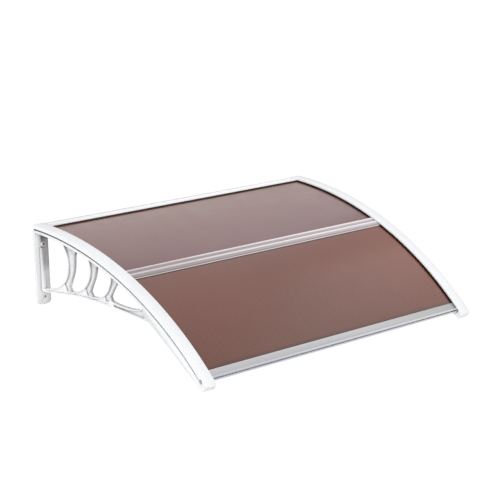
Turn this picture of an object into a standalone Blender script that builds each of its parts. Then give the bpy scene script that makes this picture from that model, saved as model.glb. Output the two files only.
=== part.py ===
"""Polycarbonate door canopy, 1.2 m wide, as a static assembly.

Two white scroll brackets carry two arched twin-wall sheets, joined and edged by
aluminium rails, sealed with black rubber and held down by white cover strips.
Metres, +Z up. The wall plane is y = 0 and the front looks along -Y. x = 0 is mid-width
and z = 0 is the top of the sheets at the wall. Along the arch a point is given as
(s, n): s is the length of arc from the wall, n the height above the sheets' top.
"""
import math

import bpy
import bmesh

# Whole canopy
HALF_WIDTH = 0.600
ARC_RADIUS = 1.170
ARC_CENTRE_DEPTH = -0.106
ARC_STEP = math.radians(1.25)
CLEARANCE = 0.0003
WALL_OVERRUN = 0.004
CUTTER_REACH = 0.004

# Sheets
SHEET_THICKNESS = 0.005
EDGE_SEAL = 0.0046
SHEET_LENGTH = 0.4148
REAR_SHEET_START = 0.0030
SHEET_BUTT_GAP = 0.0044

# Bracket
STRIP_WIDTH = 0.042
FLANGE_TOP = -0.0070
FLANGE_THICKNESS = 0.0075
UNION_OVERLAP = 0.003
WEB_INSET = 0.024
WEB_THICKNESS = 0.014
POCKET_DEPTH = 0.0056
RIM = 0.0044
SCROLL_CORNER = 0.004
FIELD_DEPTH = 0.0013
FIELD_HEIGHT = 0.040
FIELD_START = 0.018
FIELD_RIM = 0.0048
PLATE_WIDTH = 0.052
PLATE_THICKNESS = 0.008
PLATE_BOTTOM = -0.248
PLATE_CORNER = 0.015
RIB_FRONT = 0.0110
RIB_TOP = -0.066
CHORD_DEPTH = -0.110
BOSS_RADIUS = 0.009
BOSS_FRONT = 0.015
SCREW_HOLE_RADIUS = 0.0038
SCREW_HOLE_INSET = 0.029
UPPER_HOLE_Z = -0.055
LOWER_HOLE_Z = -0.224
NOSE_LENGTH = 0.0175
NOSE_GAP = 0.0028
ARM_START = 0.552
EDGE_CHAMFER = 0.0010

# Cover strip
COVER_TOP = 0.0098
COVER_BOTTOM = 0.0042
COVER_SKIRT = 0.0028
COVER_SKIRT_BOTTOM = -0.0020
COVER_FILLET = 0.0015
COVER_NOSE_RADIUS = 0.0090
NOSE_INSET = 0.0002

# Side seals
SEAL_LIP = 0.005
SEAL_REAR_START = 0.0345
UPPER_SEAL_TOP = 0.0039

# Rear rail
REAR_RAIL_FRONT = 0.0330
REAR_RAIL_WALL = 0.0025
REAR_RAIL_TOP = 0.0080
REAR_RAIL_EDGE = 0.0008
REAR_FOOT_SHORT = 0.0040
REAR_PLATE_LOW = 0.0036
REAR_PLATE_HIGH = 0.0056
REAR_SEAL = (0.0255, 0.0345)
RAIL_FOOT = 0.0019

# Middle rail: a ridged cap over a base with a web
CAP_HALF = 0.0230
BASE_HALF = 0.0230
BASE_TOP = 0.0022
BASE_FOOT_HALF = 0.0180
BASE_WEB = 0.0038
BASE_EDGE = 0.0006
BASE_REAR_CUT = 0.0028
CAP_SECTION = ((-0.0180, 0.0025), (0.0165, 0.0025), (0.0165, 0.0032), (0.0095, 0.0034), (0.0072, 0.0040),
               (0.0052, 0.0054), (0.0024, 0.0060), (-0.0006, 0.0054), (-0.0028, 0.0040), (-0.0072, 0.0034),
               (-0.0078, 0.0039), (-0.0092, 0.0039), (-0.0098, 0.0034), (-0.0132, 0.0040), (-0.0152, 0.0054),
               (-0.0180, 0.0060), (-0.0206, 0.0054), (-0.0226, 0.0036), (-0.0230, 0.0005), (-0.0218, 0.0005),
               (-0.0206, 0.0025))

# Front rail
FRONT_RAIL_COVER = 0.0060
FRONT_RAIL_EDGE = 0.0006
FRONT_RAIL_TOP = 0.0028
FRONT_RAIL_FOOT = 0.0014
FRONT_RAIL_WALL = 0.0016
LIP_REACH = 0.0215
LIP_N = -0.0022
LIP_OUTER = 0.0072
LIP_WALL = 0.0014
LIP_SLOT = (math.radians(45), math.radians(75))

# Outlines of the scroll as (s, n)
SCROLL_1_FRONT = ((0.1224, -0.0156), (0.1352, -0.0296), (0.1507, -0.0469), (0.1620, -0.0670), (0.1678, -0.0873),
                  (0.1679, -0.1119), (0.1594, -0.1363), (0.1379, -0.1579), (0.1106, -0.1732), (0.0776, -0.1852),
                  (0.0452, -0.1935))
SCROLL_2_REAR = ((0.1835, -0.1497), (0.1867, -0.1325), (0.1925, -0.1084), (0.1948, -0.0851), (0.1922, -0.0661),
                 (0.1890, -0.0483), (0.1892, -0.0307), (0.1940, -0.0153))
SCROLL_2_FRONT = ((0.2455, -0.0150), (0.2589, -0.0266), (0.2708, -0.0439), (0.2773, -0.0640), (0.2771, -0.0851),
                  (0.2709, -0.1060), (0.2571, -0.1259), (0.2362, -0.1438), (0.2117, -0.1562), (0.1941, -0.1613))
SCROLL_3_REAR = ((0.2921, -0.1217), (0.2942, -0.1030), (0.2987, -0.0791), (0.2999, -0.0586), (0.2984, -0.0399),
                 (0.2993, -0.0247), (0.3031, -0.0152))
SCROLL_3_FRONT = ((0.3620, -0.0150), (0.3727, -0.0286), (0.3762, -0.0445), (0.3761, -0.0627), (0.3717, -0.0823),
                  (0.3597, -0.1023), (0.3389, -0.1195), (0.3082, -0.1319))
SCROLL_4_REAR = ((0.3912, -0.0886), (0.3935, -0.0689), (0.3979, -0.0494), (0.4022, -0.0321), (0.4073, -0.0152))
SCROLL_4_FRONT = ((0.5491, -0.0152), (0.5408, -0.0276), (0.5273, -0.0445), (0.5037, -0.0614), (0.4697, -0.0780),
                  (0.4312, -0.0917), (0.4018, -0.0978))
CHORD_UNDERSIDE = ((0.0311, -0.2046), (0.0941, -0.1952), (0.1632, -0.1796), (0.2304, -0.1620), (0.2969, -0.1455),
                   (0.3621, -0.1279), (0.4259, -0.1090), (0.4880, -0.0883), (0.5381, -0.0691), (0.5854, -0.0466),
                   (0.6215, -0.0268))

# Zones of the web recessed between the rims: span along the flange, then points round the rest
STRUT_1_RECESS = ((0.104, 0.215), ((0.2212, -0.0617), (0.1991, -0.1193), (0.1930, -0.1579), (0.1784, -0.1652),
                                   (0.1592, -0.1471), (0.1446, -0.1310), (0.1217, -0.0435)))
STRUT_2_RECESS = ((0.215, 0.322), ((0.3274, -0.0433), (0.3045, -0.0996), (0.3064, -0.1277), (0.2862, -0.1368),
                                   (0.2694, -0.1208), (0.2528, -0.1072), (0.2465, -0.0650), (0.2254, -0.0397)))
STRUT_3_RECESS = ((0.335, 0.432), ((0.4303, -0.0267), (0.4059, -0.0657), (0.4051, -0.0926), (0.3796, -0.1114),
                                   (0.3680, -0.0980), (0.3480, -0.0840), (0.3603, -0.0467), (0.3447, -0.0313)))
CHORD_RECESS = ((0.413, 0.620), ((0.5524, -0.0193), (0.5191, -0.0391), (0.4548, -0.0731), (0.4038, -0.0898)))

# Underside of the front arm as (s, n)
ARM_UNDERSIDE = ((0.560, -0.0325), (0.640, -0.0335), (0.700, -0.0330), (0.750, -0.0312), (0.790, -0.0285),
                 (0.825, -0.0245), (0.855, -0.0195), (0.876, -0.0145))

SKIRT_INNER_X = HALF_WIDTH - COVER_SKIRT
SHEET_HALF_WIDTH = SKIRT_INNER_X - EDGE_SEAL - 2 * CLEARANCE
ARC_CENTRE_Z = -math.sqrt(ARC_RADIUS ** 2 - ARC_CENTRE_DEPTH ** 2)
ARC_START = math.asin(-ARC_CENTRE_DEPTH / ARC_RADIUS)
FRONT_SHEET_START = REAR_SHEET_START + SHEET_LENGTH + SHEET_BUTT_GAP
FRONT_SHEET_END = FRONT_SHEET_START + SHEET_LENGTH
MIDDLE_S = FRONT_SHEET_START - SHEET_BUTT_GAP / 2
FLANGE_BOTTOM = FLANGE_TOP - FLANGE_THICKNESS
FRONT_RAIL_START = FRONT_SHEET_END - FRONT_RAIL_COVER
LIP_S = FRONT_SHEET_END + LIP_REACH
NOSE_BLOCK_START = LIP_S + LIP_OUTER + NOSE_GAP
NOSE_END = NOSE_BLOCK_START + NOSE_LENGTH
COVER_INNER_X = HALF_WIDTH - STRIP_WIDTH
RAIL_HALF = COVER_INNER_X - CLEARANCE
FRONT_RAIL_HALF = SKIRT_INNER_X - CLEARANCE
SCREW_HOLE_X = HALF_WIDTH - SCREW_HOLE_INSET
FOOT_TOP = -SHEET_THICKNESS - CLEARANCE
WEB_LOW_X = HALF_WIDTH - WEB_INSET - WEB_THICKNESS / 2
WEB_HIGH_X = WEB_LOW_X + WEB_THICKNESS


def arc(s, n):
    """(depth, height) of a point of the arch."""
    angle = ARC_START + s / ARC_RADIUS
    r = ARC_RADIUS + n
    return ARC_CENTRE_DEPTH + r * math.sin(angle), ARC_CENTRE_Z + r * math.cos(angle)


def arc_at_depth(depth, n):
    """(depth, height) of the arch's offset n at a given depth."""
    return depth, ARC_CENTRE_Z + math.sqrt((ARC_RADIUS + n) ** 2 - (depth - ARC_CENTRE_DEPTH) ** 2)


def arc_run(s0, s1, n, step=ARC_STEP):
    """Points of the arch's offset n from s0 to s1."""
    count = max(1, math.ceil(abs(s1 - s0) / ARC_RADIUS / step))
    return [arc(s0 + (s1 - s0) * i / count, n) for i in range(count + 1)]


def depth_run(d0, d1, n, count):
    """Points of the arch's offset n between two depths."""
    return [arc_at_depth(d0 + (d1 - d0) * i / count, n) for i in range(count + 1)]


def arch_points(points):
    return [arc(s, n) for s, n in points]


def spline(points, steps=2):
    """Smooth run through the points, with `steps` pieces for each span."""
    padded = [points[0], *points, points[-1]]
    out = []
    for i in range(1, len(padded) - 2):
        quad = padded[i - 1:i + 3]
        for k in range(steps):
            t = k / steps
            out.append(tuple(0.5 * (2 * b + (c - a) * t + (2 * a - 5 * b + 4 * c - d) * t * t
                                    + (3 * b - a - 3 * c + d) * t ** 3) for a, b, c, d in zip(*quad)))
    return out + [tuple(points[-1])]


def round_corners(loop, radius, least=math.radians(35), segments=3):
    """Closed loop with every corner sharper than `least` rounded."""
    out = []
    for i, p in enumerate(loop):
        a, b = loop[i - 1], loop[(i + 1) % len(loop)]
        ua, ub = (a[0] - p[0], a[1] - p[1]), (b[0] - p[0], b[1] - p[1])
        la, lb = math.hypot(*ua), math.hypot(*ub)
        cosine = (ua[0] * ub[0] + ua[1] * ub[1]) / (la * lb)
        turn = math.pi - math.acos(max(-1.0, min(1.0, cosine)))
        if turn < least:
            out.append(p)
            continue
        cut = min(radius * math.tan(turn / 2), 0.48 * la, 0.48 * lb)
        for k in range(segments + 1):
            t = k / segments
            first, last = (1 - t) ** 2 * cut / la, t * t * cut / lb
            out.append((p[0] + ua[0] * first + ub[0] * last, p[1] + ua[1] * first + ub[1] * last))
    return out


def grow(loop, distance):
    """Closed loop moved outwards by a distance."""
    area = sum(a[0] * b[1] - b[0] * a[1] for a, b in zip(loop, loop[1:] + loop[:1]))
    sign = distance if area > 0 else -distance
    out = []
    for i, p in enumerate(loop):
        a, b = loop[i - 1], loop[(i + 1) % len(loop)]
        tx, ty = b[0] - a[0], b[1] - a[1]
        length = math.hypot(tx, ty)
        out.append((p[0] + sign * ty / length, p[1] - sign * tx / length))
    return out


def new_object(name, bm, collection, material=None):
    """Object made from a bmesh, with its faces turned outwards."""
    bmesh.ops.recalc_face_normals(bm, faces=bm.faces)
    mesh = bpy.data.meshes.new(name)
    bm.to_mesh(mesh)
    bm.free()
    obj = bpy.data.objects.new(name, mesh)
    collection.objects.link(obj)
    if material:
        mesh.materials.append(material)
    if collection is CUTTERS:
        obj.hide_render = True
        obj.display_type = "WIRE"
    return obj


def push(bm, corners, vec):
    """Flat face through the corners, extruded by a vector into a closed body."""
    face = bm.faces.new([bm.verts.new(c) for c in corners])
    moved = bmesh.ops.extrude_face_region(bm, geom=[face])["geom"]
    bmesh.ops.translate(bm, vec=vec, verts=[v for v in moved if isinstance(v, bmesh.types.BMVert)])


def prisms(name, loops, spans, collection, material=None):
    """Side outlines in (depth, height), each pushed across every span of x."""
    bm = bmesh.new()
    for x0, x1 in spans:
        for loop in loops:
            push(bm, [(x0, -d, z) for d, z in loop], (x1 - x0, 0, 0))
    return new_object(name, bm, collection, material)


def sweep(name, section, s0, s1, collection, material=None):
    """Section in (x, n) swung along the arch. One that starts behind the wall is cut flush with it."""
    bm = bmesh.new()
    verts = []
    for x, n in section:
        depth, height = arc(s0, n)
        verts.append(bm.verts.new((x, -depth, height)))
    face = bm.faces.new(verts)
    steps = max(1, math.ceil((s1 - s0) / ARC_RADIUS / ARC_STEP))
    bmesh.ops.spin(bm, geom=[face, *face.edges, *verts], cent=(0, -ARC_CENTRE_DEPTH, ARC_CENTRE_Z),
                   axis=(1, 0, 0), angle=(s1 - s0) / ARC_RADIUS, steps=steps)
    if s0 < 0:
        cut = bmesh.ops.bisect_plane(bm, geom=[*bm.verts, *bm.edges, *bm.faces], plane_co=(0, 0, 0),
                                     plane_no=(0, 1, 0), clear_outer=True)["geom_cut"]
        bmesh.ops.edgeloop_fill(bm, edges=[e for e in cut if isinstance(e, bmesh.types.BMEdge)])
    return new_object(name, bm, collection, material)


def cylinder(name, radius, axis, centre, length, segments):
    """Round cutter or boss along X or Y."""
    bm = bmesh.new()
    bmesh.ops.create_cone(bm, cap_ends=True, segments=segments, radius1=radius, radius2=radius, depth=length)
    for v in bm.verts:
        a, b, c = v.co
        v.co = (c, a, b) if axis == "X" else (a, c, b)
    bmesh.ops.translate(bm, vec=centre, verts=bm.verts)
    return new_object(name, bm, CUTTERS)


def boolean(obj, other, operation):
    mod = obj.modifiers.new(other.name, "BOOLEAN")
    mod.operation = operation
    mod.solver = "EXACT"
    mod.object = other


def make_material(name, color, roughness, metallic=0.0, transmission=0.0):
    mat = bpy.data.materials.new(name)
    mat.use_nodes = True
    shader = mat.node_tree.nodes["Principled BSDF"]
    shader.inputs["Base Color"].default_value = (*color, 1.0)
    shader.inputs["Roughness"].default_value = roughness
    shader.inputs["Metallic"].default_value = metallic
    shader.inputs["Transmission Weight"].default_value = transmission
    mat.diffuse_color = (*color, 1.0)
    return mat


def scroll_openings():
    """The four through openings of the scroll as closed (depth, height) loops."""
    first = spline(arch_points(SCROLL_1_FRONT))
    top = depth_run(PLATE_THICKNESS, first[0][0], FLANGE_BOTTOM, 5)[:-1]
    loops = [[(PLATE_THICKNESS, RIB_TOP), *top, *first, (RIB_FRONT, RIB_TOP)]]
    for rear, front in ((SCROLL_2_REAR, SCROLL_2_FRONT), (SCROLL_3_REAR, SCROLL_3_FRONT),
                        (SCROLL_4_REAR, SCROLL_4_FRONT)):
        rising, falling = spline(arch_points(rear)), spline(arch_points(front))
        top = depth_run(rising[-1][0], falling[0][0], FLANGE_BOTTOM, 4)[1:-1]
        loops.append([*rising, *top, *falling])
    return [round_corners(loop, SCROLL_CORNER) for loop in loops]


def recess_zones(chord):
    """Rough zones of the recesses, which the grown openings then trim to the rims."""
    zones = []
    for (s0, s1), rest in (STRUT_1_RECESS, STRUT_2_RECESS, STRUT_3_RECESS):
        zones.append([*arc_run(s0, s1, FLANGE_BOTTOM - RIM * 0.75), *arch_points(rest)])
    (s0, s1), rest = CHORD_RECESS
    depths = arc(s0, CHORD_DEPTH)[0], arc(s1, CHORD_DEPTH)[0]
    under = [(d, z + RIM) for d, z in chord if depths[0] < d < depths[1]]
    zones.append([*under, *arch_points(rest)])
    return zones


def chord_field(chord):
    """Band of the chord that lies a step below the rims round the openings."""
    band = [(d, z) for d, z in chord if FIELD_START < d < arc(CHORD_RECESS[0][0], CHORD_DEPTH)[0]]
    return [*((d, z + RIM) for d, z in band), *((d, z + FIELD_HEIGHT) for d, z in reversed(band))]


def bracket(name, side, mat):
    """Scroll bracket in one moulding: flange, arm, recessed web, wall plate, rib and boss."""
    outer, inner = side * HALF_WIDTH, side * COVER_INNER_X
    seat = FLANGE_BOTTOM + UNION_OVERLAP
    body = sweep(name, [(inner, FLANGE_BOTTOM), (outer, FLANGE_BOTTOM), (outer, FLANGE_TOP),
                        (inner, FLANGE_TOP)], -WALL_OVERRUN, NOSE_END, PARTS, mat)

    chord = spline(arch_points(CHORD_UNDERSIDE))
    loops = scroll_openings()
    whole = [(side * (WEB_LOW_X - CUTTER_REACH), side * (WEB_HIGH_X + CUTTER_REACH))]
    web_top = depth_run(PLATE_THICKNESS / 2, chord[-1][0], seat, 20)
    web_low = [(PLATE_THICKNESS / 2, chord[0][1]), *chord[1:]]
    web = prisms(name + "_web", [[*web_top, *reversed(web_low)]], [(side * WEB_LOW_X, side * WEB_HIGH_X)],
                 CUTTERS)
    boolean(web, prisms(name + "_scroll", loops, whole, CUTTERS), "DIFFERENCE")
    faces = [(side * (WEB_LOW_X - CUTTER_REACH), side * (WEB_LOW_X + POCKET_DEPTH)),
             (side * (WEB_HIGH_X - POCKET_DEPTH), side * (WEB_HIGH_X + CUTTER_REACH))]
    recess = prisms(name + "_recess", recess_zones(chord), faces, CUTTERS)
    faces = [(side * (WEB_LOW_X - CUTTER_REACH), side * (WEB_LOW_X + FIELD_DEPTH)),
             (side * (WEB_HIGH_X - FIELD_DEPTH), side * (WEB_HIGH_X + CUTTER_REACH))]
    field = prisms(name + "_field", [chord_field(chord)], faces, CUTTERS)
    wide = [(side * (WEB_LOW_X - 2 * CUTTER_REACH), side * (WEB_HIGH_X + 2 * CUTTER_REACH))]
    for i, loop in enumerate(loops):
        rim = prisms(f"{name}_rim_{i + 1}", [grow(loop, RIM)], wide, CUTTERS)
        boolean(recess, rim, "DIFFERENCE")
        boolean(field, prisms(f"{name}_ring_{i + 1}", [grow(loop, FIELD_RIM)], wide, CUTTERS), "DIFFERENCE")
    boolean(web, recess, "DIFFERENCE")
    boolean(web, field, "DIFFERENCE")
    boolean(body, web, "UNION")

    arm_low = [arc(s, n) for s, n in spline(ARM_UNDERSIDE)]
    arm_top = arc_run(ARM_START, NOSE_END - UNION_OVERLAP, seat)
    boolean(body, prisms(name + "_arm", [[*arm_top, *reversed(arm_low)]], [(inner, outer)], CUTTERS), "UNION")
    top = COVER_SKIRT_BOTTOM - CLEARANCE
    boolean(body, sweep(name + "_nose", [(inner, seat), (outer, seat), (outer, top), (inner, top)],
                        NOSE_BLOCK_START, NOSE_END, CUTTERS), "UNION")
    boolean(body, lip_saddle(name, side), "DIFFERENCE")

    plate_inner = side * (HALF_WIDTH - PLATE_WIDTH)
    plate_top = arc_at_depth(PLATE_THICKNESS, FLANGE_TOP)[1] - CLEARANCE
    plate = [(plate_inner, plate_top), (outer, plate_top)]
    for corner_x, turn in ((outer - side * PLATE_CORNER, 0), (plate_inner + side * PLATE_CORNER, 90)):
        for a in range(turn, turn + 91, 15):
            plate.append((corner_x + side * PLATE_CORNER * math.cos(math.radians(a)),
                          PLATE_BOTTOM + PLATE_CORNER - PLATE_CORNER * math.sin(math.radians(a))))
    bm = bmesh.new()
    push(bm, [(x, 0, z) for x, z in plate], (0, -PLATE_THICKNESS, 0))
    boolean(body, new_object(name + "_plate", bm, CUTTERS), "UNION")
    depth = BOSS_FRONT - PLATE_THICKNESS / 2
    boolean(body, cylinder(name + "_boss", BOSS_RADIUS, "Y",
                           (side * SCREW_HOLE_X, depth / 2 - BOSS_FRONT, UPPER_HOLE_Z), depth, 24), "UNION")
    for tag, z in (("upper", UPPER_HOLE_Z), ("lower", LOWER_HOLE_Z)):
        boolean(body, cylinder(f"{name}_{tag}_hole", SCREW_HOLE_RADIUS, "Y", (side * SCREW_HOLE_X, 0, z),
                               4 * BOSS_FRONT, 16), "DIFFERENCE")
    soften = body.modifiers.new("edges", "BEVEL")
    soften.width = EDGE_CHAMFER
    soften.segments = 1
    soften.limit_method = "ANGLE"
    soften.angle_limit = math.radians(38)
    return body


def lip_saddle(name, side):
    """Cutter that makes room for the front rail's rolled lip."""
    depth, height = arc(LIP_S, LIP_N)
    middle = side * (HALF_WIDTH - STRIP_WIDTH / 2)
    return cylinder(name + "_saddle", LIP_OUTER + CLEARANCE, "X", (middle, -depth, height), 2 * STRIP_WIDTH, 28)


def cover(name, side, mat):
    """Curved strip with an outer skirt and a closed, rounded nose."""
    c = COVER_FILLET
    bulge = c * (1 - math.sqrt(0.5))
    section = [(COVER_INNER_X, COVER_BOTTOM), (COVER_INNER_X, COVER_TOP - c),
               (COVER_INNER_X + bulge, COVER_TOP - bulge), (COVER_INNER_X + c, COVER_TOP),
               (HALF_WIDTH - c, COVER_TOP), (HALF_WIDTH - bulge, COVER_TOP - bulge),
               (HALF_WIDTH, COVER_TOP - c), (HALF_WIDTH, COVER_SKIRT_BOTTOM),
               (SKIRT_INNER_X, COVER_SKIRT_BOTTOM), (SKIRT_INNER_X, COVER_BOTTOM)]
    body = sweep(name, [(side * x, n) for x, n in section], -WALL_OVERRUN, NOSE_END, PARTS, mat)
    outer, inner = side * (HALF_WIDTH - COVER_SKIRT / 2), side * (COVER_INNER_X + NOSE_INSET)
    low, high = COVER_SKIRT_BOTTOM + NOSE_INSET, COVER_BOTTOM + UNION_OVERLAP / 2
    boolean(body, sweep(name + "_nose", [(inner, low), (outer, low), (outer, high), (inner, high)],
                        NOSE_BLOCK_START, NOSE_END - NOSE_INSET, CUTTERS), "UNION")
    boolean(body, lip_saddle(name, side), "DIFFERENCE")
    r = COVER_NOSE_RADIUS
    turned = [(NOSE_END - r + r * math.sin(math.radians(a)), COVER_TOP - r + r * math.cos(math.radians(a)))
              for a in range(0, 91, 15)]
    clear = [(NOSE_END + r, turned[-1][1]), (NOSE_END + r, COVER_TOP + r), (turned[0][0], COVER_TOP + r)]
    spans = [(side * (COVER_INNER_X - CUTTER_REACH), side * (HALF_WIDTH + CUTTER_REACH))]
    boolean(body, prisms(name + "_nose_round", [[arc(s, n) for s, n in [*turned, *clear]]], spans, CUTTERS),
            "DIFFERENCE")
    return body


def sheet(name, start, mat):
    """Arched sheet, solid in section; its flutes belong to the looks."""
    half = SHEET_HALF_WIDTH
    section = [(-half, -SHEET_THICKNESS), (half, -SHEET_THICKNESS), (half, 0.0), (-half, 0.0)]
    return sweep(name, section, start, start + SHEET_LENGTH, PARTS, mat)


def rear_rail(name, mat):
    """Wall upstand, top plate over the sheet and a foot under it."""
    low, high, back, front = REAR_PLATE_LOW, REAR_PLATE_HIGH, REAR_RAIL_WALL, REAR_RAIL_FRONT
    foot_low = FOOT_TOP - RAIL_FOOT
    edge = REAR_RAIL_EDGE
    foot_end = front - REAR_FOOT_SHORT
    top = arc_at_depth(0.0, REAR_RAIL_TOP)[1]
    loop = [arc_at_depth(0.0, foot_low), *arc_run(back, foot_end, foot_low),
            *arc_run(foot_end, back + CLEARANCE, FOOT_TOP), arc_at_depth(back, low),
            *arc_run(back + edge, front, low), arc(front + edge / 2, (low + high) / 2),
            *arc_run(front, back + 2 * edge, high), arc_at_depth(back, high + edge), (back, top - edge),
            (back - edge, top), (0.0, top)]
    return prisms(name, [loop], [(-RAIL_HALF, RAIL_HALF)], PARTS, mat)


def middle_base(name, mat):
    """H-shaped base of the middle rail that takes both sheets' ends."""
    half, foot, web = BASE_HALF, BASE_FOOT_HALF, BASE_WEB / 2
    foot_low, rear = FOOT_TOP - RAIL_FOOT, BASE_REAR_CUT - half
    section = [(half, CLEARANCE), (half, BASE_TOP - BASE_EDGE), (half - BASE_EDGE, BASE_TOP), (rear, BASE_TOP),
               (rear, CLEARANCE), (-web, CLEARANCE), (-web, FOOT_TOP), (-foot, FOOT_TOP),
               (-foot, foot_low), (foot, foot_low), (foot, FOOT_TOP), (web, FOOT_TOP), (web, CLEARANCE)]
    loop = [arc(MIDDLE_S + a, n) for a, n in section]
    return prisms(name, [loop], [(-RAIL_HALF, RAIL_HALF)], PARTS, mat)


def middle_cap(name, mat):
    """Ridged cap of the middle rail."""
    loop = [arc(MIDDLE_S + a, n) for a, n in CAP_SECTION]
    return prisms(name, [loop], [(-RAIL_HALF, RAIL_HALF)], PARTS, mat)


def front_rail(name, mat):
    """Channel over the front sheet's edge with an open rolled lip ahead of it."""
    start, end = FRONT_RAIL_START, FRONT_SHEET_END + CLEARANCE
    foot_low, edge = FOOT_TOP - FRONT_RAIL_FOOT, FRONT_RAIL_EDGE
    web = end + FRONT_RAIL_WALL
    under = FRONT_RAIL_TOP - FRONT_RAIL_WALL
    inside = LIP_OUTER - LIP_WALL
    over_joint = math.pi - math.asin((FRONT_RAIL_TOP - LIP_N) / LIP_OUTER)
    under_joint = math.pi - math.asin((under - LIP_N) / LIP_OUTER)
    first, last = LIP_SLOT[1], LIP_SLOT[0] + 2 * math.pi

    def ring(radius, a0, a1, count):
        return [(LIP_S + radius * math.cos(a0 + (a1 - a0) * i / count),
                 LIP_N + radius * math.sin(a0 + (a1 - a0) * i / count)) for i in range(count + 1)]

    section = [(start, CLEARANCE), (start, FRONT_RAIL_TOP - edge), (start + edge, FRONT_RAIL_TOP),
               *ring(LIP_OUTER, over_joint, first, 6), *ring(inside, first, last, 22),
               *ring(LIP_OUTER, last, under_joint, 18), (web, under), (web, foot_low), (start, foot_low),
               (start, FOOT_TOP), (end, FOOT_TOP), (end, CLEARANCE)]
    loop = [arc(s, n) for s, n in section]
    return prisms(name, [loop], [(-FRONT_RAIL_HALF, FRONT_RAIL_HALF)], PARTS, mat)


def build():
    white = make_material("white_plastic", (0.86, 0.87, 0.88), 0.38)
    bronze = make_material("bronze_polycarbonate", (0.20, 0.10, 0.075), 0.25, transmission=0.35)
    alloy = make_material("anodised_aluminium", (0.74, 0.75, 0.77), 0.34, metallic=1.0)
    rubber = make_material("black_rubber", (0.018, 0.018, 0.019), 0.75)

    rear_start, rear_end = REAR_SHEET_START, REAR_SHEET_START + SHEET_LENGTH
    seal_low = COVER_INNER_X + CLEARANCE
    seal_out = SKIRT_INNER_X - CLEARANCE
    edge_x = SHEET_HALF_WIDTH + CLEARANCE
    for tag, side in (("left", -1), ("right", 1)):
        bracket(f"{tag}_bracket", side, white)
        cover(f"{tag}_cover_strip", side, white)
        upper = [(side * (COVER_INNER_X - SEAL_LIP), CLEARANCE), (side * seal_out, CLEARANCE),
                 (side * seal_out, UPPER_SEAL_TOP), (side * (COVER_INNER_X - SEAL_LIP * 0.8), UPPER_SEAL_TOP),
                 (side * (COVER_INNER_X - SEAL_LIP), UPPER_SEAL_TOP * 0.7)]
        lower = [(side * seal_low, FLANGE_TOP + CLEARANCE), (side * seal_out, FLANGE_TOP + CLEARANCE),
                 (side * seal_out, -CLEARANCE), (side * edge_x, -CLEARANCE), (side * edge_x, FOOT_TOP),
                 (side * seal_low, FOOT_TOP)]
        gap = CLEARANCE
        sweep(f"{tag}_rear_upper_seal", upper, SEAL_REAR_START, MIDDLE_S - CAP_HALF - gap, PARTS, rubber)
        sweep(f"{tag}_front_upper_seal", upper, MIDDLE_S + CAP_HALF + gap, FRONT_RAIL_START - gap, PARTS, rubber)
        sweep(f"{tag}_rear_lower_seal", lower, rear_start, rear_end, PARTS, rubber)
        sweep(f"{tag}_front_lower_seal", lower, FRONT_SHEET_START, FRONT_RAIL_START - gap, PARTS, rubber)

    sheet("rear_sheet", rear_start, bronze)
    sheet("front_sheet", FRONT_SHEET_START, bronze)
    rear_rail("rear_rail", alloy)
    middle_base("middle_rail_base", alloy)
    middle_cap("middle_rail_cap", alloy)
    front_rail("front_rail", alloy)
    lip = COVER_INNER_X - SEAL_LIP - CLEARANCE
    sweep("rear_rail_seal", [(-lip, CLEARANCE), (lip, CLEARANCE), (lip, REAR_PLATE_LOW - CLEARANCE),
                             (-lip, REAR_PLATE_LOW - CLEARANCE)], *REAR_SEAL, PARTS, rubber)


for old in list(bpy.data.objects):
    bpy.data.objects.remove(old, do_unlink=True)
PARTS = bpy.data.collections.new("door_canopy")
CUTTERS = bpy.data.collections.new("door_canopy_cutters")
for group in (PARTS, CUTTERS):
    bpy.context.scene.collection.children.link(group)
build()
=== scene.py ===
"""Looks of the polycarbonate door canopy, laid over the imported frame.

Lengths are metres. A point of the canopy is given as (x, s, n): x runs along the wall, s is the
length of arc from the wall and n the height above the sheets' top, as in the part's source.
"""
import math

import bmesh
import bpy
import numpy as np
from mathutils import Matrix, Vector


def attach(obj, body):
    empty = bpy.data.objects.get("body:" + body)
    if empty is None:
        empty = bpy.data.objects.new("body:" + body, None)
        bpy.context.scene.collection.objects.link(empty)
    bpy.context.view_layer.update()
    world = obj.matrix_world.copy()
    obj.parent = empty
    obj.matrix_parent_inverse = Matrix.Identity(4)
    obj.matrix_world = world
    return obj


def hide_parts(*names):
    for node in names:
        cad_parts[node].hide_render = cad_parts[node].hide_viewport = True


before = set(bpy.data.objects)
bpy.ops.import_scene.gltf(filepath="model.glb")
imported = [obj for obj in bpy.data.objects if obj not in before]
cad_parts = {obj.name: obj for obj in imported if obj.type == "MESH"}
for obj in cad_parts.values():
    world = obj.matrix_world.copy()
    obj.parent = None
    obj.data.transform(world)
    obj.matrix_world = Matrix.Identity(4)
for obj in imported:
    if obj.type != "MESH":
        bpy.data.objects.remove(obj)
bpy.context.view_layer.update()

# The arch
ARC_RADIUS = 1.170
ARC_BACK = 0.106
ARC_CENTRE_Z = -math.sqrt(ARC_RADIUS ** 2 - ARC_BACK ** 2)
ARC_START = math.asin(ARC_BACK / ARC_RADIUS)

# The twin-wall sheets, which lie between the seals in the strips' skirts: their width, where each
# begins and ends in s, the distance from web to web, and how thick the skins and webs are
CLEARANCE = 0.0003
SKIRT_INNER = 0.5972
EDGE_SEAL = 0.0046
SHEET_HALF = SKIRT_INNER - EDGE_SEAL - 2 * CLEARANCE
SHEET_THICKNESS = 0.005
SHEET_SPANS = {"rear_sheet": (0.0030, 0.4178), "front_sheet": (0.4222, 0.8370)}
FLUTE_PITCH = 0.0066
SKIN = 0.0006

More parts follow.
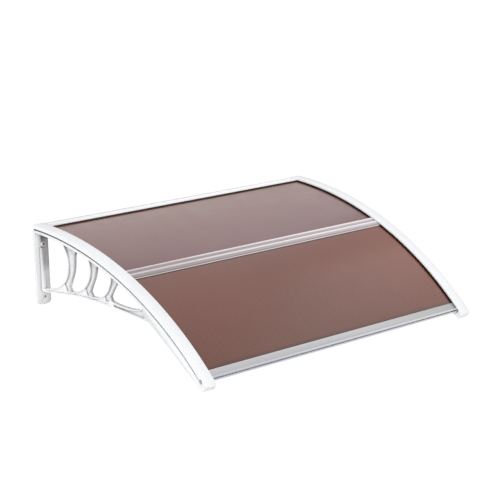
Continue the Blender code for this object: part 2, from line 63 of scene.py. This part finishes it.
# The rails: the heights between which the painted highlight on the cap's ridges comes, the axis
# of the front rail's roll, and the distances from it between which the light painted in the roll
# ends
HALF_WIDTH = 0.600
MIDDLE_S = 0.4200
CAP_FRONT = MIDDLE_S + 0.0230
RIDGE_HEIGHTS = 0.0041, 0.0057
FRONT_RAIL_START = 0.8310
FRONT_RAIL_HALF = 0.5969
LIP_START = 0.8533
LIP_S, LIP_N = 0.8585, -0.0022
ROLL_INSIDE = 0.0062, 0.0066

# The screw ends in the roll: their axis, and each ring's depth in the rail and its radius
SCREW_S, SCREW_N = LIP_S - 0.0005, LIP_N - 0.0007
SCREW_RINGS = (0.0064, 0.0042), (0.0070, 0.0048), (0.0160, 0.0048)
SCREW_SIDES = 24

# The strips and brackets, as distances from the middle of the canopy
STRIP_INNER = 0.558
POCKET_FLOOR = 0.5774
WEB_FACE = 0.5830

# Between which heights n, and then which lengths s, the brackets' painted shade comes or goes
FLANGE_BOTTOM = -0.0145
UNDER_ARM = -0.056, -0.036
STRUT_FEET = -0.142, -0.118
CHORD_END = 0.402, 0.416
NOSE = 0.80, 0.84

# How much shade is painted under the arm and down the struts, behind the pockets' floor and ahead
# of it, and how far the two kinds of crevice reach for the painted crevice shade
ARM_SHADE = 0.90, 0.15
STRUT_SHADE = 0.46, 0.05
CREVICE_REACHES = 0.045, 0.0045

# Merging distances for new pieces and for copies of the CAD, the angle in degrees up to which
# a copy's faces count as one, and how far the edges of strips and rails are eased
WELD, CAD_WELD = 1e-7, 2e-6
FLAT = 0.3
STRIP_EASE, RAIL_EASE = 0.0004, 0.00015

# Colours. A pair is two tints that clouds blend.
WHITE = (0.835, 0.842, 0.852), (0.800, 0.808, 0.822)
# The grey of the painted shade in the brackets' crevices and openings
PAINTED_SHADE_GREY = (0.14, 0.132, 0.142)
LIGHT_DUST = (0.60, 0.585, 0.56)
BRONZE = (0.118, 0.033, 0.022), (0.136, 0.039, 0.026)
WEB_LINES = (0.252, 0.086, 0.054)
# Painted: a lilac sheen on the rear sheet, warm light on the front sheet's right, and shade
PAINTED_SHEEN_LILAC = (0.208, 0.135, 0.195)
PAINTED_LIGHT_WARM = (0.36, 0.05, 0.02)
SHEET_SHADE = (0.030, 0.012, 0.008)
DIE_LINES = (0.75, 0.75, 0.76)
# A paler silver painted as light into the front rail's hollow roll
ROLL_PAINTED_LIGHT = (0.90, 0.91, 0.94)
FLOOR_WHITE = (0.90, 0.90, 0.90)

# Silvers, dull and then bright, each from the left end to the right end. The bright ones of the
# middle and front rails are painted highlights, and their change from end to end is painted
# reflection
REAR_SILVERS = [(0.74, 0.74, 0.75)] * 2, [(0.86, 0.86, 0.87)] * 2
MIDDLE_SILVERS = ([(0.315, 0.262, 0.270), (0.500, 0.445, 0.462)],
                  [(0.73, 0.655, 0.66), (0.84, 0.78, 0.80)])
FRONT_SILVERS = ([(0.655, 0.650, 0.670), (0.340, 0.337, 0.330)],
                 [(0.53, 0.55, 0.63), (0.66, 0.67, 0.69)])

# The floor, and how much of it glows by itself where it is seen
FLOOR_Z = -2.60
FLOOR_REACH = 80
FLOOR_GLOW, GLOW_SHARE = 1.1, 0.8

# The studio's light from all round, from the left and from the front, and how gloss sees it
# dimmer from a certain depth on to the back, and to the front
STUDIO_BASE, STUDIO_LEFT, STUDIO_FRONT = 0.44, 0.81, 0.95
BACK_START, BACK_DIM, FRONT_DIM = 0.25, 0.64, 0.5

# The photo's camera
CAMERA_PLACE = (-3.9965, -4.4835, 0.9895)
CAMERA_RIGHT = (0.71313, -0.70024, -0.03302)
CAMERA_UP = (0.15711, 0.11376, 0.98099)
CAMERA_BACK = (-0.68318, -0.70478, 0.19115)
CAMERA_LENS, SENSOR_WIDTH = 129.78, 36.0


def arch(x, s, n):
    """Points at (x, s, n): the radius is the arch's own plus n, and the angle is the arch's start
    plus s over the arch's radius."""
    x, s, n = np.broadcast_arrays(*(np.asarray(part, float) for part in (x, s, n)))
    angle = ARC_START + s / ARC_RADIUS
    radius = ARC_RADIUS + n
    return np.stack([x, ARC_BACK - radius * np.sin(angle),
                     ARC_CENTRE_Z + radius * np.cos(angle)], -1)


def add_to_scene(name, data):
    """Object with the given name and data, linked to the scene."""
    obj = bpy.data.objects.new(name, data)
    bpy.context.scene.collection.objects.link(obj)
    return obj


def shade_smooth(mesh, sharp_above):
    """Shades the faces smooth, with edges of more than the given degrees kept sharp."""
    mesh.polygons.foreach_set("use_smooth", np.ones(len(mesh.polygons), bool))
    mesh.set_sharp_from_angle(angle=math.radians(sharp_above))


def solid_mesh(name, points, faces, sharp_above):
    """Mesh from points and faces, merged, with its faces turned outwards and shaded smooth."""
    mesh = bpy.data.meshes.new(name)
    mesh.from_pydata(points.reshape(-1, 3).tolist(), [], faces)
    bm = bmesh.new()
    bm.from_mesh(mesh)
    bmesh.ops.remove_doubles(bm, verts=bm.verts, dist=WELD)
    bmesh.ops.recalc_face_normals(bm, faces=bm.faces)
    bm.to_mesh(mesh)
    bm.free()
    shade_smooth(mesh, sharp_above)
    return mesh


def piece(name, mesh, slot, material, *nodes):
    """Object made from a mesh, riding on the frame, with its finish and the CAD nodes that it
    stands for."""
    obj = add_to_scene(name, mesh)
    mesh.materials.clear()
    mesh.materials.append(material)
    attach(obj, "root")
    if nodes:
        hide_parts(*nodes)
    return obj


class Value:
    """A shader socket: sums written with it add the Math nodes that work them out."""

    def __init__(self, tree, socket):
        self.tree, self.socket = tree, socket

    def math(self, operation, *others, reflected=False):
        node = self.tree.nodes.new("ShaderNodeMath")
        node.operation = operation
        terms = [*others, self] if reflected else [self, *others]
        for slot, term in zip(node.inputs, terms):
            if isinstance(term, Value):
                self.tree.links.new(term.socket, slot)
            else:
                slot.default_value = term
        return Value(self.tree, node.outputs[0])

    def __add__(self, other):
        return self.math("ADD", other)

    def __mul__(self, other):
        return self.math("MULTIPLY", other)

    def __sub__(self, other):
        return self.math("SUBTRACT", other)

    def __rsub__(self, other):
        return self.math("SUBTRACT", other, reflected=True)

    __radd__, __rmul__ = __add__, __mul__

    def either(self, other):
        """The greater of two values."""
        return self.math("MAXIMUM", other)


class Nodes:
    """A node tree, with one way to add any node to it."""

    def __init__(self, owner):
        owner.use_nodes = True
        self.data, self.tree = owner, owner.node_tree

    def node(self, kind, sockets=None, output=0, **settings):
        """Adds a node: its settings first, then the values or links of its sockets."""
        node = self.tree.nodes.new("ShaderNode" + kind)
        for key, value in settings.items():
            setattr(node, key, value)
        for key, value in (sockets or {}).items():
            if isinstance(value, Value):
                self.tree.links.new(value.socket, node.inputs[key])
            else:
                node.inputs[key].default_value = value
        return Value(self.tree, node.outputs[output])

    def link(self, value, node, socket):
        """Leads a value into a socket of a node that the tree already has."""
        self.tree.links.new(value.socket, self.tree.nodes[node].inputs[socket])

    def parts(self, vector):
        """The three parts of a vector."""
        return [self.node("SeparateXYZ", {"Vector": vector}, output=axis) for axis in range(3)]

    def ray(self, kind):
        """1 for rays of the given kind, otherwise 0."""
        return self.node("LightPath", output=f"Is {kind} Ray")

    def seen(self):
        """1 for what is seen straight, in a gloss or through a clear piece, otherwise 0."""
        return self.ray("Camera").either(self.ray("Glossy")).either(self.ray("Transmission"))


class Finish(Nodes):
    """A material with its main shader, whose constants are set on the shader's own sockets."""

    def __init__(self, name, **constants):
        super().__init__(bpy.data.materials.new(name))
        for key, value in constants.items():
            self.tree.nodes["Principled BSDF"].inputs[key.replace("_", " ")].default_value = value

    def on_arch(self):
        """The point's x, s and n. With depth and height counted from the arch's axis, s is the
        arctangent of depth over height, less the arch's start, times its radius. n is the root
        of their squares' sum, less the radius."""
        x, y, z = self.parts(self.node("TexCoord", output="Object"))
        depth, height = ARC_BACK - y, z - ARC_CENTRE_Z
        s = (depth.math("ARCTAN2", height) - ARC_START) * ARC_RADIUS
        return x, s, (depth * depth + height * height).math("SQRT") - ARC_RADIUS

    def noise(self, scale, stretch=(1, 1, 1), detail=3.0):
        """Clouds of the given scale, finer or coarser along an axis by its stretch."""
        place = self.node("TexCoord", output="Object")
        where = self.node("Mapping", {"Vector": place, "Scale": stretch})
        return self.node("TexNoise", {"Vector": where, "Scale": scale, "Detail": detail})

    def spread(self, value, low, high, to_low=0.0, to_high=1.0):
        """The value taken from one range to another and held inside it."""
        return self.node("MapRange", {"Value": value, "From Min": low, "From Max": high,
                                      "To Min": to_low, "To Max": to_high})

    def blend(self, amount, first, second):
        """A colour between two colours, each three numbers or a link."""
        sockets = {0: amount}
        for key, value in ((6, first), (7, second)):
            sockets[key] = value if isinstance(value, Value) else (*value, 1.0)
        return self.node("Mix", sockets, output=2, data_type="RGBA")

    def feed(self, socket, value):
        """Leads a value into a socket of the main shader."""
        self.link(value, "Principled BSDF", socket)

    def bump(self, height, distance, strength):
        """Relief of the given distance between the lowest and the highest of the heights."""
        self.feed("Normal", self.node("Bump", {"Height": height, "Distance": distance,
                                               "Strength": strength}))


def moulded_plastic():
    """White moulded plastic: satin, faintly clouded, with a very fine grain and a light dusting.
    Painted shade darkens it where the form shuts itself in, over a long and a short reach, and
    less on the nose. Painted shade also lies in the scroll's openings: fully under the arm and
    half as much down the struts. They hardly take it ahead of the pockets' floor, and the web's
    outer face doesn't."""
    m = Finish("white_plastic", IOR=1.47, Coat_Weight=0.12, Coat_Roughness=0.25)
    x, s, n = m.on_arch()
    dust_and_sheen = m.noise(48.0, detail=4.0)
    tint = m.blend(m.spread(m.noise(7.0, detail=2.0), 0.35, 0.7), *WHITE)

    # Painted shade where the form shuts itself in, found by ambient occlusion
    wide_air, near_air = (m.node("AmbientOcclusion", {"Distance": reach}, output="AO", samples=12,
                                 only_local=True) for reach in CREVICE_REACHES)
    crevice_shade = m.spread(wide_air, 0.30, 0.76, 0.90, 0.0).either(
        m.spread(near_air, 0.50, 0.97, 0.90, 0.0))
    crevice_shaded = m.blend(crevice_shade * m.spread(s, *NOSE, 1.0, 0.35), tint, PAINTED_SHADE_GREY)

    outwards = x.math("ABSOLUTE")
    at_floor = POCKET_FLOOR - 0.0012, POCKET_FLOOR - 0.0001
    # Painted shade in the walls of the openings under the arm and down the struts
    below_arm = m.spread(n, *UNDER_ARM) * m.spread(outwards, *at_floor, *ARM_SHADE)
    by_struts = (m.spread(n, *STRUT_FEET) * m.spread(outwards, *at_floor, *STRUT_SHADE)
                 * m.spread(s, *CHORD_END, 1.0, 0.0))
    below_flange = m.spread(n, FLANGE_BOTTOM - 0.0030, FLANGE_BOTTOM - 0.0005, 1.0, 0.0)
    behind_face = m.spread(outwards, WEB_FACE - 0.0001, WEB_FACE, 1.0, 0.0)
    shaded = m.blend(below_arm.either(by_struts) * below_flange * behind_face, crevice_shaded, PAINTED_SHADE_GREY)

    m.feed("Base Color", m.blend(m.spread(dust_and_sheen, 0.62, 0.8, 0.0, 0.08), shaded, LIGHT_DUST))
    m.feed("Roughness", m.spread(dust_and_sheen, 0.3, 0.8, 0.32, 0.46))
    m.bump(m.noise(900.0, detail=1.0), distance=0.00003, strength=0.5)
    return m.data


def drawn_aluminium(name, dull, bright, bright_where, inside=None):
    """Silver anodised extrusion. Its dull and its bright silver are pairs of colours, from the
    left end to the right end, which change on the middle and front rails by painted reflection.
    The bright one lies where the given mask of s and n says: a painted highlight on the cap's
    ridges and the front rail's lip, and the whole rear rail. Fine die lines run along the rail
    and the shine clouds along them. The inside of the front rail's roll may take painted light, a
    paler silver of its own."""
    m = Finish(name, Metallic=0.85)
    x, s, n = m.on_arch()
    # Painted reflection changes the silvers from the left end to the right end
    rightwards = m.spread(x, -HALF_WIDTH, HALF_WIDTH)
    dull, bright = m.blend(rightwards, *dull), m.blend(rightwards, *bright)
    # The bright silver is a painted highlight on the cap's ridges and the front rail's lip
    silver = m.blend(bright_where(m, s, n), dull, bright)
    if inside:
        # Painted light inside the roll's hollow
        silver = m.blend(roll_hollow(m, s, n), silver, inside)
    lines = m.noise(900.0, stretch=(0.004, 1, 1), detail=2.0)
    cloud = m.noise(6.0, stretch=(0.4, 1, 1), detail=2.0)
    drawn = m.blend(m.spread(lines, 0.3, 0.7, 0.0, 0.20), silver, DIE_LINES)
    m.feed("Base Color", m.blend(m.spread(cloud, 0.45, 0.75, 0.0, 0.25), drawn, dull))
    m.feed("Roughness", m.spread(lines, 0.25, 0.75, 0.30, 0.44))
    m.bump(lines, distance=0.00003, strength=0.7)
    return m.data


def whole_rail(m, s, n):
    """Mask of the whole rear rail: it is full from the wall on."""
    return m.spread(s, -ARC_START * ARC_RADIUS, 0.0)


def ridge_tops(m, s, n):
    """Mask of the painted highlight on the cap's two ridges, which rises with n, and on its front
    edge, which rises with s to three quarters."""
    front_edge = m.spread(s, CAP_FRONT - 0.0045, CAP_FRONT - 0.0025) * 0.75
    return m.spread(n, *RIDGE_HEIGHTS).either(front_edge)


def rolled_lip(m, s, n):
    """Mask of the painted highlight on the front rail ahead of its flat face: it rises with s."""
    return m.spread(s, LIP_START - 0.0006, LIP_START + 0.0006)


def roll_hollow(m, s, n):
    """Mask of the inside of the front rail's roll, where light is painted: it falls with the
    distance from the roll's axis, which is the root of the squares' sum of the steps in s and n."""
    ahead, up = s - LIP_S, n - LIP_N
    return m.spread((ahead * ahead + up * up).math("SQRT"), *ROLL_INSIDE, 1.0, 0.0)


def seal_rubber(name, clean, dusty):
    """Extruded rubber of a grey between clean and dusty, with a dusty bloom."""
    m = Finish(name, Specular_IOR_Level=0.18)
    dust_and_sheen = m.noise(60.0, detail=4.0)
    m.feed("Base Color", m.blend(m.spread(dust_and_sheen, 0.45, 0.8), (clean,) * 3, (dusty,) * 3))
    m.feed("Roughness", m.spread(dust_and_sheen, 0.3, 0.8, 0.60, 0.78))
    m.bump(m.noise(400.0, detail=2.0), distance=0.00008, strength=0.6)
    return m.data


def bronze_sheet():
    """Bronze twin-wall polycarbonate. Fine paler lines in the tinted skin, as far apart as the
    webs, are a cosine of the length of arc from the arch's top over that distance. The rear sheet
    carries a painted lilac sheen that grows towards the middle rail. The front one has painted
    warm light to the right, and painted shade towards the front rail, just below the cap and
    along the cover strips."""
    m = Finish("bronze_polycarbonate", IOR=1.585, Specular_IOR_Level=0.485,
               Transmission_Weight=0.12)
    x, s, _ = m.on_arch()
    wave = ((s + ARC_START * ARC_RADIUS) * (2 * math.pi / FLUTE_PITCH)).math("COSINE")
    clouded = m.blend(m.spread(m.noise(3.2, detail=2.0), 0.3, 0.7), *BRONZE)
    lined = m.blend(m.spread(wave, -1.0, 1.0, 0.0, 0.80), clouded, WEB_LINES)

    front = m.spread(s, MIDDLE_S, MIDDLE_S + 0.001)
    # Painted lilac sheen on the rear sheet, growing towards the middle rail
    dust_and_sheen = m.spread(s, 0.10, MIDDLE_S - 0.03, 0.0, 0.32) * (1.0 - front)
    # Painted warm light on the front sheet, growing to the right
    painted_light = m.spread(x, 0.0, 0.5, 0.0, 0.18) * front
    tinted = m.blend(painted_light, m.blend(dust_and_sheen, lined, PAINTED_SHEEN_LILAC), PAINTED_LIGHT_WARM)

    # Painted shade towards the front rail, just below the cap and along the cover strips
    to_rail = m.spread(s, FRONT_RAIL_START - 0.26, FRONT_RAIL_START - 0.01, 0.0, 0.24)
    at_rail = m.spread(s, FRONT_RAIL_START - 0.014, FRONT_RAIL_START, 0.0, 0.50)
    at_cap = m.spread(s, CAP_FRONT + 0.001, CAP_FRONT + 0.006, 0.75, 0.0) * front
    at_strip = (m.spread(x.math("ABSOLUTE"), STRIP_INNER - 0.0110, STRIP_INNER - 0.0005)
                * m.spread(s, MIDDLE_S, FRONT_RAIL_START, 0.15, 0.80))
    shade = (to_rail + at_rail).either(at_strip).either(at_cap)

    m.feed("Base Color", m.blend(shade, tinted, SHEET_SHADE))
    m.feed("Roughness", m.spread(m.noise(14.0, detail=3.0), 0.3, 0.75, 0.18, 0.27))
    m.bump(wave, distance=0.00002, strength=0.5)
    return m.data


white, bronze = moulded_plastic(), bronze_sheet()
black = seal_rubber("black_rubber", clean=0.003, dusty=0.012)
greyed = seal_rubber("greyed_rubber", clean=0.030, dusty=0.070)
rear_silver = drawn_aluminium("bright_aluminium", *REAR_SILVERS, whole_rail)
middle_silver = drawn_aluminium("ridged_aluminium", *MIDDLE_SILVERS, ridge_tops)
front_silver = drawn_aluminium("anodised_aluminium", *FRONT_SILVERS, rolled_lip, ROLL_PAINTED_LIGHT)


def refined(node, slot, material, ease=0.0, sharp_above=50):
    """A merged copy of a CAD node, smooth over its chamfers, with its remaining sharp edges
    eased."""
    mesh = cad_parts[node].data.copy()
    bm = bmesh.new()
    bm.from_mesh(mesh)
    bmesh.ops.remove_doubles(bm, verts=bm.verts, dist=CAD_WELD)
    bmesh.ops.dissolve_limit(bm, angle_limit=math.radians(FLAT), verts=bm.verts, edges=bm.edges)
    bm.to_mesh(mesh)
    bm.free()
    shade_smooth(mesh, sharp_above)
    obj = piece(node + "_finish", mesh, slot, material, node)
    if ease:
        bevel = obj.modifiers.new("eased_edges", "BEVEL")
        bevel.width, bevel.segments = ease, 2
        bevel.limit_method, bevel.angle_limit = "ANGLE", math.radians(sharp_above)
        bevel.harden_normals = True


def twin_wall(node, s0, s1):
    """Twin-wall sheet: a grid of stations in s and four levels in n. Both skins fill the outer
    rows of cells, webs fill every second cell between them, and the lines that bound the filled
    cells are carried straight across in x, so each flute is a tube from side to side."""
    count = int((s1 - s0 - SKIN) / FLUTE_PITCH)
    webs = (s0 + s1 - SKIN) / 2 + (np.arange(count + 1) - count / 2) * FLUTE_PITCH
    stations = np.concatenate([[s0], np.stack([webs, webs + SKIN], 1).ravel(), [s1]])
    levels = np.array([-SHEET_THICKNESS, SKIN - SHEET_THICKNESS, -SKIN, 0.0])
    filled = np.ones((len(stations) - 1, 3), bool)
    filled[2:-1:2, 1] = False

    ends = np.array([-SHEET_HALF, SHEET_HALF])[:, None, None]
    points = arch(ends, stations[None, :, None], levels[None, None, :])
    index = np.arange(points[..., 0].size).reshape(2, len(stations), 4)
    to_right = index[1, 0, 0]
    corners = np.stack([index[:, :-1, :-1], index[:, 1:, :-1], index[:, 1:, 1:],
                        index[:, :-1, 1:]], -1)
    faces = [corners[:, filled].reshape(-1, 4)]
    padded = np.pad(filled, 1).astype(int)
    for axis in (0, 1):
        station, level = (np.argwhere(np.diff(padded, axis=axis) != 0) - [axis, 1 - axis]).T
        a, b = index[0, station, level], index[0, station + axis, level + 1 - axis]
        faces.append(np.stack([a, b, b + to_right, a + to_right], -1))

    name = node + "_shell"
    mesh = solid_mesh(name, points, np.concatenate(faces).tolist(), sharp_above=20)
    piece(name, mesh, "bronze_polycarbonate", bronze, node)


def screw_end(name, side):
    """Screw end inside the roll's end. Its rings are circles: s and n are those of its axis plus
    the radius times the cosine and the sine of the turn, and x is the rail's end less the ring's
    depth. The first and the last ring are closed by a flat face."""
    turn = np.linspace(0, 2 * math.pi, SCREW_SIDES, endpoint=False)
    depth, radius = np.array(SCREW_RINGS).T[:, :, None]
    rings = arch(side * (FRONT_RAIL_HALF - depth), SCREW_S + radius * np.cos(turn),
                 SCREW_N + radius * np.sin(turn))
    index = np.arange(rings[..., 0].size).reshape(rings.shape[:2])
    turned = np.roll(index, -1, axis=1)
    sides = np.stack([index[:-1], turned[:-1], turned[1:], index[1:]], -1).reshape(-1, 4)
    faces = sides.tolist() + [index[0, ::-1].tolist(), index[-1].tolist()]
    mesh = solid_mesh(name, rings, faces, sharp_above=32)
    piece(name, mesh, "anodised_aluminium", front_silver)


for node, span in SHEET_SPANS.items():
    twin_wall(node, *span)

for side in ("left", "right"):
    refined(side + "_bracket", "white_plastic", white)
    refined(side + "_cover_strip", "white_plastic", white, STRIP_EASE)
for node, metal in (("rear_rail", rear_silver), ("middle_rail_base", middle_silver),
                    ("middle_rail_cap", middle_silver), ("front_rail", front_silver)):
    refined(node, "anodised_aluminium", metal, RAIL_EASE, sharp_above=40)

screw_end("left_screw_end", -1)
screw_end("right_screw_end", 1)

for node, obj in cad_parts.items():
    if node.endswith("_seal"):
        obj.data.materials.clear()
        obj.data.materials.append(greyed if node == "rear_rail_seal" else black)


def pale(name, colour, strength):
    """Matt floor that keeps its shadows, and that also glows by itself where it is seen."""
    m = Nodes(bpy.data.materials.new(name))
    m.tree.nodes.remove(m.tree.nodes["Principled BSDF"])
    matt = m.node("BsdfDiffuse", {"Color": (*colour, 1.0)})
    glow = m.node("Emission", {"Strength": strength})
    both = m.node("MixShader", {0: m.seen() * GLOW_SHARE, 1: matt, 2: glow})
    m.link(both, "Material Output", "Surface")
    return m.data


floor_mesh = bpy.data.meshes.new("floor")
floor_mesh.from_pydata([(x * FLOOR_REACH, y * FLOOR_REACH, FLOOR_Z)
                        for x, y in ((-1, -1), (1, -1), (1, 1), (-1, 1))], [], [(0, 1, 2, 3)])
floor_mesh.materials.append(pale("pale_floor", FLOOR_WHITE, FLOOR_GLOW))
floor = add_to_scene("floor", floor_mesh)


def studio():
    """Pale studio all round. What is seen of it is white, and gloss sees it dimmer to the back
    and to the front. It lights the canopy from all round, and more from the left and the front,
    by how far a direction points there."""
    world = bpy.data.worlds.new("studio")
    bpy.context.scene.world = world
    m = Nodes(world)
    across, depth, _ = m.parts(m.node("TexCoord", output="Generated"))
    to_left, to_front = ((part * -1.0).either(0.0) for part in (across, depth))
    glow = to_left * STUDIO_LEFT + to_front * STUDIO_FRONT + STUDIO_BASE
    dim = (depth - BACK_START).either(0.0) * BACK_DIM + to_front * FRONT_DIM
    white_seen = 1.0 - dim * m.ray("Glossy")
    seen = m.seen()
    m.link(seen * white_seen + (1.0 - seen) * glow, "Background", "Strength")
    m.tree.nodes["Background"].inputs["Color"].default_value = (1.0, 1.0, 1.0, 1.0)


def soft_lamp(name, place, target, size, power, mirrored=True):
    """Rectangular lamp turned to its target. It isn't seen itself, and gloss may miss it too."""
    lamp = bpy.data.lights.new(name, "AREA")
    lamp.shape, lamp.size, lamp.size_y, lamp.energy = "RECTANGLE", *size, power
    obj = add_to_scene(name, lamp)
    turn = (Vector(target) - Vector(place)).to_track_quat("-Z", "Y").to_matrix().to_4x4()
    obj.matrix_world = Matrix.Translation(place) @ turn
    obj.visible_camera, obj.visible_glossy = False, mirrored


studio()
soft_lamp("front_softbox", (-4.5, -5.5, 5.5), (0, -0.35, -0.1), (3.0, 3.0), 84, mirrored=False)
soft_lamp("side_softbox", (-7.0, -1.5, 0.6), (0, -0.35, -0.1), (2.0, 2.0), 43, mirrored=False)
soft_lamp("rear_softbox", (3.0, 2.2, 2.4), (0.0, -0.15, 0.0), (2.6, 2.2), 9.5)
soft_lamp("right_softbox", (3.9, -1.2, 2.6), (0.4, -0.6, -0.2), (2.2, 1.8), 7.5)

camera_data = bpy.data.cameras.new("photo_camera")
camera_data.lens, camera_data.sensor_width = CAMERA_LENS, SENSOR_WIDTH
camera = add_to_scene("photo_camera", camera_data)
camera_axes = Matrix((CAMERA_RIGHT, CAMERA_UP, CAMERA_BACK)).transposed().to_4x4()
camera.matrix_world = Matrix.Translation(CAMERA_PLACE) @ camera_axes
bpy.context.scene.camera = camera
bpy.context.scene.view_settings.view_transform = "Standard"
